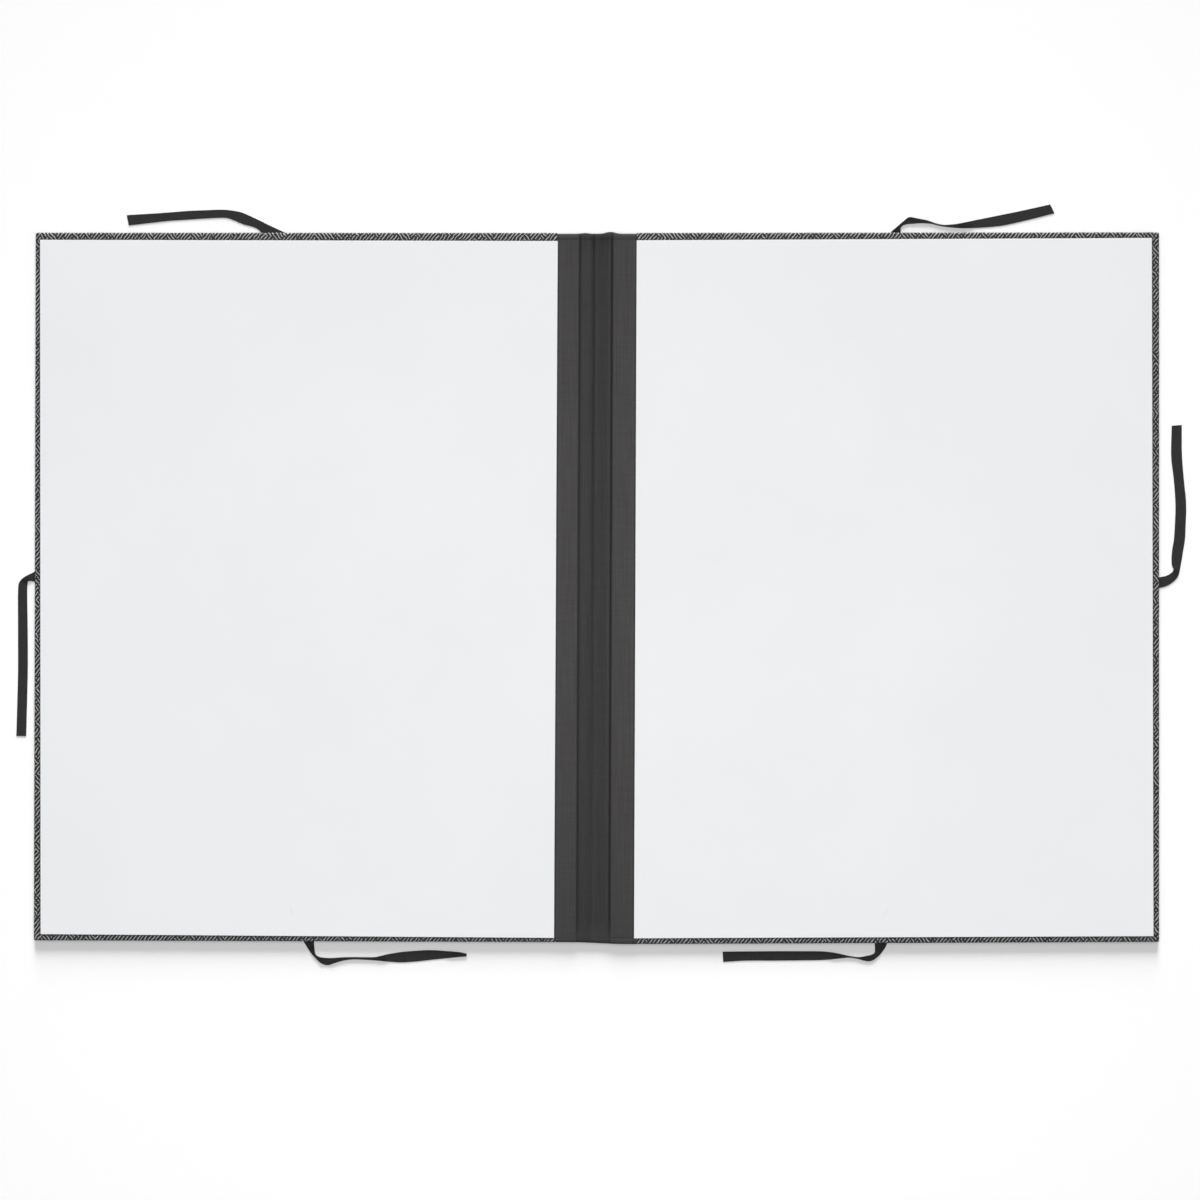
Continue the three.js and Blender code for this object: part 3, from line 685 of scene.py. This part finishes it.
def hang_inner(side):
    """Half of the inner cloth, from its edge on the lining to the crease."""
    word = SIDES[side]
    head, tail = STRIP_ENDS["head"], STRIP_ENDS["tail"]
    ys = [head - end for end in END_STEPS]
    ys += list(np.linspace(head - END_BAND, tail + END_BAND, STRIP_ROWS))
    ys += [tail + end for end in reversed(END_STEPS)]
    columns = strip_columns(side, side * STRIP_REACH)
    border = columns[0 if side < 0 else -1]
    points, shades = [], []
    for y in ys:
        edge = strip_edge(side, y) + side * STRIP_OVERLAP
        for x in columns:
            share = (x - CREASE) / (side * STRIP_REACH - CREASE)
            px = CREASE + (edge - CREASE) * share
            z = spine_level(px, y)
            if y in (head, tail) or x == border:
                z -= SKIN
            points.append((px, y, z))
            # The cut end gets painted shade.
            near_end = y > head - END_BAND or y < tail + END_BAND
            shades.append(cloth_painted_shade(side, px, y) * (END_PAINTED_SHADE if near_end else 1.0))
    faces = grid_faces(len(ys), len(columns))
    faces = [tuple(reversed(face)) for face in faces]
    piece = mesh_object(f"{word}_hinge_cloth", points, faces, shades=shades)
    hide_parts(f"{word}_inner_cloth", "spine_inner_cloth")
    return piece


OUTER_REACH = 0.30
OUTER_ROWS = 40

# The part of the turned end that the inner cloth leaves bare swells up to its level
BARE_FLAP = 0.0050
BARE_FADE = 0.001
BARE_RISE = 0.00037

# Distances in from the turned end and shares of the thickness, from the end of the flap to the outer face
FLAP_PROFILE = [
    (0.0150, 1.0), (0.0100, 1.0), (0.0064, 1.0), (0.0050, 1.0), (0.0030, 1.0),
    (0.0014, 0.99), (0.0006, 0.93), (0.0002, 0.82), (0.0, 0.66), (0.0, 0.34),
    (0.0002, 0.18), (0.0006, 0.07), (0.0014, 0.01), (0.0030, 0.0),
]

# The turned end stands out past the boards. At the head it has two humps: height, place and width of each.
HEAD_STANDS = 0.0003
HEAD_HUMPS = [(0.0007, -0.011, 0.005), (0.0017, 0.0125, 0.006)]
TAIL_STANDS = 0.0018
TAIL_SLANT = 0.0010
SLANT_REACH = 0.02


def head_line(x):
    """How far the cloth's turned edge stands out at the head: a shallow M over the spine."""
    humps = sum(height * math.exp(-((x - place) / width) ** 2) for height, place, width in HEAD_HUMPS)
    return HEAD_EDGE + HEAD_STANDS + humps


def tail_line(x):
    """How far the cloth's turned edge stands out at the tail."""
    return HEAD_EDGE + TAIL_STANDS + TAIL_SLANT * math.tanh(x / SLANT_REACH)


def hang_outer(side):
    """Half of the outer cloth, from its flap at the head round the outside to its flap at the tail."""
    word = SIDES[side]
    columns = strip_columns(side, side * HALF_STRIP)
    route = []
    for inset, share in FLAP_PROFILE:
        route.extend((x, head_line(x) - inset, share, inset) for x in columns)
    for y in np.linspace(OUTER_REACH, -OUTER_REACH, OUTER_ROWS):
        route.extend((x, y, 0.0, OUTER_REACH) for x in columns)
    for inset, share in reversed(FLAP_PROFILE):
        route.extend((x, inset - tail_line(x), share, inset) for x in columns)
    points, shades = [], []
    for x, y, share, inset in route:
        bare = np.interp(inset, (BARE_FLAP, BARE_FLAP + BARE_FADE), (1, 0))
        top = spine_level(x, y) - SKIN + BARE_RISE * bare
        points.append((x, y, UNDER_SKIN + (top - UNDER_SKIN) * share))
        shades.append(cloth_painted_shade(side, x, y) if share > 0.5 else 1.0)
    faces = grid_faces(len(route) // len(columns), len(columns))
    piece = mesh_object(f"{word}_spine_cloth", points, faces, shades=shades)
    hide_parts(f"{word}_outer_cloth", "spine_outer_cloth")
    return piece


# The flat width and length of each half of the two strips
INNER_CUTS = {-1: (0.0368, 0.651), 1: (0.0431, 0.651)}
OUTER_CUTS = {-1: (0.0333, 0.698), 1: (0.0411, 0.698)}


def make_spine():
    """Both halves of both cloths."""
    made = {}
    for side, word in SIDES.items():
        inner = hang_inner(side)
        outer = hang_outer(side)
        for piece, cuts, held in ((inner, INNER_CUTS, "laid"), (outer, OUTER_CUTS, "folded")):
            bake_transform(piece)
        made[side] = (inner, outer)
    return made


spine_cloths = make_spine()


# Materials

def new_material(name, colour, roughness, specular=0.5):
    """A material with its shader, and the handles that the sections below add nodes to."""
    material = bpy.data.materials.new(name)
    material.use_nodes = True
    tree = material.node_tree
    shader = tree.nodes["Principled BSDF"]
    shader.inputs["Base Color"].default_value = (*colour, 1)
    shader.inputs["Roughness"].default_value = roughness
    shader.inputs["Specular IOR Level"].default_value = specular
    return material, tree, shader


def placed(tree, scale=(1, 1, 1), turn=0.0):
    """The place attribute turned about Z and then scaled."""
    attribute = tree.nodes.new("ShaderNodeAttribute")
    attribute.attribute_name = "place"
    turned = tree.nodes.new("ShaderNodeMapping")
    turned.inputs["Rotation"].default_value = (0, 0, turn)
    mapping = tree.nodes.new("ShaderNodeMapping")
    mapping.inputs["Scale"].default_value = scale
    tree.links.new(attribute.outputs["Vector"], turned.inputs["Vector"])
    tree.links.new(turned.outputs["Vector"], mapping.inputs["Vector"])
    return mapping.outputs["Vector"]


NOISE_ROUGHNESS = 0.6


def noise_of(tree, vector, scale, detail=4.0):
    made = tree.nodes.new("ShaderNodeTexNoise")
    made.inputs["Scale"].default_value = scale
    made.inputs["Detail"].default_value = detail
    made.inputs["Roughness"].default_value = NOISE_ROUGHNESS
    tree.links.new(vector, made.inputs["Vector"])
    return made.outputs["Fac"]


def ramp(tree, value, *stops):
    """A colour ramp; each stop is (position, colour)."""
    made = tree.nodes.new("ShaderNodeValToRGB")
    elements = made.color_ramp.elements
    while len(elements) < len(stops):
        elements.new(0.5)
    for element, (position, colour) in zip(elements, stops):
        element.position = position
        element.color = (*colour, 1)
    tree.links.new(value, made.inputs["Fac"])
    return made.outputs["Color"]


def math_of(tree, operation, a, b):
    """A sum or the like of two values, each a number or a socket."""
    made = tree.nodes.new("ShaderNodeMath")
    made.operation = operation
    for socket, value in zip(made.inputs, (a, b)):
        if isinstance(value, (int, float)):
            socket.default_value = value
        else:
            tree.links.new(value, socket)
    return made.outputs["Value"]


def bump(tree, shader, height, distance):
    """Raises the surface by a height, times a distance in metres."""
    made = tree.nodes.new("ShaderNodeBump")
    made.inputs["Distance"].default_value = distance
    tree.links.new(height, made.inputs["Height"])
    tree.links.new(made.outputs["Normal"], shader.inputs["Normal"])


def waves_of(tree, vector, scale, direction, distortion=0.0, detail_scale=1.0):
    made = tree.nodes.new("ShaderNodeTexWave")
    made.bands_direction = direction
    made.inputs["Scale"].default_value = scale
    made.inputs["Distortion"].default_value = distortion
    made.inputs["Detail"].default_value = 1.0
    made.inputs["Detail Scale"].default_value = detail_scale
    tree.links.new(vector, made.inputs["Vector"])
    return made.outputs["Fac"]


def scaled(tree, colour, factor):
    """A colour times a number."""
    made = tree.nodes.new("ShaderNodeVectorMath")
    made.operation = "SCALE"
    tree.links.new(colour, made.inputs[0])
    tree.links.new(factor, made.inputs["Scale"])
    return made.outputs["Vector"]


# The leatherette is a little darker towards the right fore edge.
DARKER_FROM = 0.40
DARKER_TO = 0.52
DARKER_SHADE = 0.9
WRINKLE_LEAN = math.radians(38)
WRINKLE_SCALE = 112
WRINKLE_WAVER = 2.6
WAVER_SCALE = 2.0
PATCH_SCALE = 95
PATCH_FROM = 0.50
PATCH_TO = 0.60
RAGGED_SCALE = 1500
RAGGED_SHARE = 0.3


def wrinkles(tree):
    """Wavy wrinkles, most of them rising to the right, in small patches rising to the left."""
    lean_right, lean_left = [
        waves_of(tree, placed(tree, turn=turn), WRINKLE_SCALE, "X", WRINKLE_WAVER, WAVER_SCALE)
        for turn in (WRINKLE_LEAN, -WRINKLE_LEAN)
    ]
    patches = tree.nodes.new("ShaderNodeMapRange")
    patches.inputs["From Min"].default_value = PATCH_FROM
    patches.inputs["From Max"].default_value = PATCH_TO
    tree.links.new(noise_of(tree, placed(tree), PATCH_SCALE, detail=1), patches.inputs["Value"])
    mixed = tree.nodes.new("ShaderNodeMix")
    tree.links.new(patches.outputs["Result"], mixed.inputs["Factor"])
    tree.links.new(lean_right, mixed.inputs["A"])
    tree.links.new(lean_left, mixed.inputs["B"])
    return mixed.outputs["Result"]


def leatherette():
    """Black paper embossed with a wrinkled grain, painted grey on its ridges as a highlight and near black
    in its hollows as shade, darker on the far right.
    """
    material, tree, shader = new_material("leatherette", (0.05, 0.05, 0.05), 0.45, specular=0.3)
    ragged = math_of(tree, "SUBTRACT", noise_of(tree, placed(tree), RAGGED_SCALE, detail=2), 0.5)
    folds = math_of(tree, "ADD", wrinkles(tree), math_of(tree, "MULTIPLY", ragged, RAGGED_SHARE))
    # Painted highlight and shade: the wrinkles' ridges are painted grey for their sheen, their hollows
    # near black.
    colour = ramp(tree, folds, (0.45, (0.003, 0.003, 0.003)), (0.74, (0.022, 0.022, 0.023)),
                  (0.98, (0.46, 0.46, 0.47)))
    # The attribute 'shade' carries the painted shadow beside the lining.
    shade = tree.nodes.new("ShaderNodeAttribute")
    shade.attribute_name = "shade"
    axes = tree.nodes.new("ShaderNodeSeparateXYZ")
    tree.links.new(placed(tree), axes.inputs["Vector"])
    side = tree.nodes.new("ShaderNodeMapRange")
    side.inputs["From Min"].default_value = DARKER_FROM
    side.inputs["From Max"].default_value = DARKER_TO
    side.inputs["To Min"].default_value = 1.0
    side.inputs["To Max"].default_value = DARKER_SHADE
    tree.links.new(axes.outputs["X"], side.inputs["Value"])
    right_darkened = scaled(tree, colour, side.outputs["Result"])
    tree.links.new(scaled(tree, right_darkened, shade.outputs["Fac"]), shader.inputs["Base Color"])
    bump(tree, shader, folds, 0.0004)
    return material


WARP_SCALE = 610
WEFT_SCALE = 570
THREAD_WAVER = 2.0
SLUB_SCALE = 900
PICK_SCALE = 500
SLUB_SHARE = 0.75


def book_cloth():
    """Black book cloth: a fine plain weave with a few paler slubs."""
    material, tree, shader = new_material("book_cloth", (0.06, 0.06, 0.06), 0.85, specular=0.25)
    place = placed(tree)
    warp = waves_of(tree, place, WARP_SCALE, "X", THREAD_WAVER)
    weft = waves_of(tree, place, WEFT_SCALE, "Y", THREAD_WAVER)
    weave = math_of(tree, "ADD", warp, weft)
    slubs = noise_of(tree, placed(tree, scale=(1.0, 0.02, 1.0)), SLUB_SCALE, detail=2)
    picks = noise_of(tree, placed(tree, scale=(0.1, 1.0, 1.0)), PICK_SCALE, detail=1)
    slubs = math_of(tree, "MULTIPLY", slubs, SLUB_SHARE)
    picks = math_of(tree, "MULTIPLY", picks, 1 - SLUB_SHARE)
    threads = math_of(tree, "ADD", slubs, picks)
    colour = ramp(tree, threads, (0.35, (0.050, 0.0475, 0.0475)), (0.5, (0.0565, 0.054, 0.054)),
                  (0.68, (0.066, 0.063, 0.063)))
    # The attribute 'shade' carries painted shade and highlight from the spine's grooves, crease and edges.
    shade = tree.nodes.new("ShaderNodeAttribute")
    shade.attribute_name = "shade"
    tree.links.new(scaled(tree, colour, shade.outputs["Fac"]), shader.inputs["Base Color"])
    bump(tree, shader, weave, 0.00006)
    return material


# Two ties' glued tails show through the lining as faint lines, from one end to the other
TAIL_MARKS = [((-0.2882, -0.2942), (-0.2817, -0.3101)), ((0.2743, -0.2951), (0.2650, -0.3110))]
MARK_WIDTH = 0.0012
MARK_SHADE = 0.955


def tail_mark(tree, start, stop):
    """1 away from a faint line in the paper, a little less on it."""
    along = Vector(stop) - Vector(start)
    turn = math.atan2(along.y, along.x)
    middle = (Vector(start) + Vector(stop)) / 2
    attribute = tree.nodes.new("ShaderNodeAttribute")
    attribute.attribute_name = "place"
    local = tree.nodes.new("ShaderNodeMapping")
    local.vector_type = "TEXTURE"
    local.inputs["Location"].default_value = (*middle, 0)
    local.inputs["Rotation"].default_value = (0, 0, turn)
    local.inputs["Scale"].default_value = (along.length / 2, MARK_WIDTH, 1000)
    tree.links.new(attribute.outputs["Vector"], local.inputs["Vector"])
    distance = tree.nodes.new("ShaderNodeVectorMath")
    distance.operation = "LENGTH"
    tree.links.new(local.outputs["Vector"], distance.inputs[0])
    fade = tree.nodes.new("ShaderNodeMapRange")
    fade.interpolation_type = "SMOOTHSTEP"
    fade.inputs["From Min"].default_value = 0.2
    fade.inputs["From Max"].default_value = 1.0
    fade.inputs["To Min"].default_value = MARK_SHADE
    fade.inputs["To Max"].default_value = 1.0
    tree.links.new(distance.outputs["Value"], fade.inputs["Value"])
    return fade.outputs["Result"]


FIBRE_SCALE = 1400
CLOUD_SCALE = 5


def lining_paper():
    """Smooth white paper with a faint mottled fibre."""
    material, tree, shader = new_material("lining_paper", (0.86, 0.87, 0.885), 0.7, specular=0.3)
    place = placed(tree)
    fibre = noise_of(tree, place, FIBRE_SCALE, detail=3)
    cloudy = noise_of(tree, place, CLOUD_SCALE, detail=4)
    colour = ramp(tree, cloudy, (0.3, (0.828, 0.838, 0.855)), (0.7, (0.853, 0.863, 0.881)))
    for start, stop in TAIL_MARKS:
        colour = scaled(tree, colour, tail_mark(tree, start, stop))
    tree.links.new(colour, shader.inputs["Base Color"])
    bump(tree, shader, fibre, 0.00003)
    return material


RIB_SCALE = 420
RIB_WAVER = 0.2
STREAK_SCALE = 1800


def ribbon_weave():
    """Black woven ribbon with fine cross ribs and lengthwise streaks."""
    material, tree, shader = new_material("ribbon_weave", (0.03, 0.03, 0.03), 0.75, specular=0.1)
    place = placed(tree)
    ribs = waves_of(tree, place, RIB_SCALE, "X", RIB_WAVER)
    streaks = noise_of(tree, placed(tree, scale=(0.05, 1.0, 1.0)), STREAK_SCALE, detail=2)
    colour = ramp(tree, streaks, (0.3, (0.022, 0.0215, 0.0215)), (0.7, (0.034, 0.033, 0.033)))
    tree.links.new(colour, shader.inputs["Base Color"])
    bump(tree, shader, ribs, 0.00006)
    return material


FLECK_SCALE = 900


def pulp(name, colour, paler):
    """Grey or cream pulp board with flecks."""
    material, tree, shader = new_material(name, colour, 0.9, specular=0.2)
    flecks = noise_of(tree, placed(tree), FLECK_SCALE, detail=4)
    tree.links.new(ramp(tree, flecks, (0.35, colour), (0.65, paler)), shader.inputs["Base Color"])
    bump(tree, shader, flecks, 0.0001)
    return material


def dress(piece, material):
    piece.data.materials.clear()
    piece.data.materials.append(material)


def dress_all():
    """Gives every piece its material."""
    paper, cloth, white = leatherette(), book_cloth(), lining_paper()
    weave = ribbon_weave()
    board = pulp("greyboard", (0.30, 0.27, 0.22), (0.38, 0.34, 0.28))
    card = pulp("infill_card", (0.62, 0.59, 0.52), (0.72, 0.69, 0.62))
    for piece in ribbons:
        dress(piece, weave)
    for side in SIDES:
        dress(wraps[side], paper)
        dress(linings[side], white)
        for piece in spine_cloths[side]:
            dress(piece, cloth)
    for greyboard, infill in boards:
        dress(greyboard, board)
        dress(infill, card)


dress_all()


# Floor, world and lamps

FLOOR_HALF = 40.0
FLOOR_DROP = 0.00003
FLOOR_GLOW = 0.04
WORLD_LEVEL = 0.24
ZENITH_LEVEL = 0.37
ZENITH_SPREAD = 90.0
SUN_LEVEL = 6.15
SUN_SPREAD = 20.5
SUN_ELEVATION = 13.0
TOP_POWER = 5.0
TOP_HEIGHT = 1.4
TOP_SIZE = 1.4


def seen_directly(tree):
    """1 for camera, glossy and transmission rays, else 0."""
    path = tree.nodes.new("ShaderNodeLightPath")
    both = math_of(tree, "MAXIMUM", path.outputs["Is Camera Ray"], path.outputs["Is Glossy Ray"])
    return math_of(tree, "MAXIMUM", both, path.outputs["Is Transmission Ray"])


def make_floor():
    """A wide white floor just below the covers."""
    corners = ((-1, -1), (1, -1), (1, 1), (-1, 1))
    points = [(x * FLOOR_HALF, y * FLOOR_HALF, -FLOOR_DROP) for x, y in corners]
    floor = mesh_object("floor", points, [(0, 1, 2, 3)], smooth=False)
    material = bpy.data.materials.new("floor_white")
    material.use_nodes = True
    tree = material.node_tree
    tree.nodes.clear()
    diffuse = tree.nodes.new("ShaderNodeBsdfDiffuse")
    mix = tree.nodes.new("ShaderNodeMix")
    mix.data_type = "RGBA"
    mix.inputs["A"].default_value = (0.8, 0.8, 0.8, 1)
    mix.inputs["B"].default_value = (1.0, 1.0, 1.0, 1)
    tree.links.new(seen_directly(tree), mix.inputs["Factor"])
    tree.links.new(mix.outputs["Result"], diffuse.inputs["Color"])
    glow = tree.nodes.new("ShaderNodeEmission")
    tree.links.new(math_of(tree, "MULTIPLY", seen_directly(tree), FLOOR_GLOW), glow.inputs["Strength"])
    both = tree.nodes.new("ShaderNodeAddShader")
    tree.links.new(diffuse.outputs["BSDF"], both.inputs[0])
    tree.links.new(glow.outputs["Emission"], both.inputs[1])
    output = tree.nodes.new("ShaderNodeOutputMaterial")
    tree.links.new(both.outputs["Shader"], output.inputs["Surface"])
    floor.data.materials.append(material)


def make_world():
    """An even white surrounding, brighter where it is seen than as a light."""
    world = bpy.data.worlds.new("studio")
    bpy.context.scene.world = world
    world.use_nodes = True
    tree = world.node_tree
    background = tree.nodes["Background"]
    background.inputs["Color"].default_value = (1, 1, 1, 1)
    seen = seen_directly(tree)
    extra = math_of(tree, "MULTIPLY", seen, 1 - WORLD_LEVEL)
    tree.links.new(math_of(tree, "ADD", extra, WORLD_LEVEL), background.inputs["Strength"])


def make_lamps():
    """A low window light from the head side, an even light from above and a soft lamp over the middle."""
    sun_data = bpy.data.lights.new("window", "SUN")
    sun_data.energy = SUN_LEVEL
    sun_data.angle = math.radians(SUN_SPREAD)
    sun = bpy.data.objects.new("window", sun_data)
    sun.rotation_euler = (-math.radians(90 - SUN_ELEVATION), 0, 0)
    bpy.context.scene.collection.objects.link(sun)
    zenith_data = bpy.data.lights.new("zenith", "SUN")
    zenith_data.energy = ZENITH_LEVEL
    zenith_data.angle = math.radians(ZENITH_SPREAD)
    bpy.context.scene.collection.objects.link(bpy.data.objects.new("zenith", zenith_data))
    top_data = bpy.data.lights.new("ceiling", "AREA")
    top_data.shape = "DISK"
    top_data.size = TOP_SIZE
    top_data.energy = TOP_POWER
    top = bpy.data.objects.new("ceiling", top_data)
    top.location = (0, 0, TOP_HEIGHT)
    bpy.context.scene.collection.objects.link(top)


make_floor()
make_world()
make_lamps()

scene = bpy.context.scene
scene.view_settings.view_transform = "Standard"
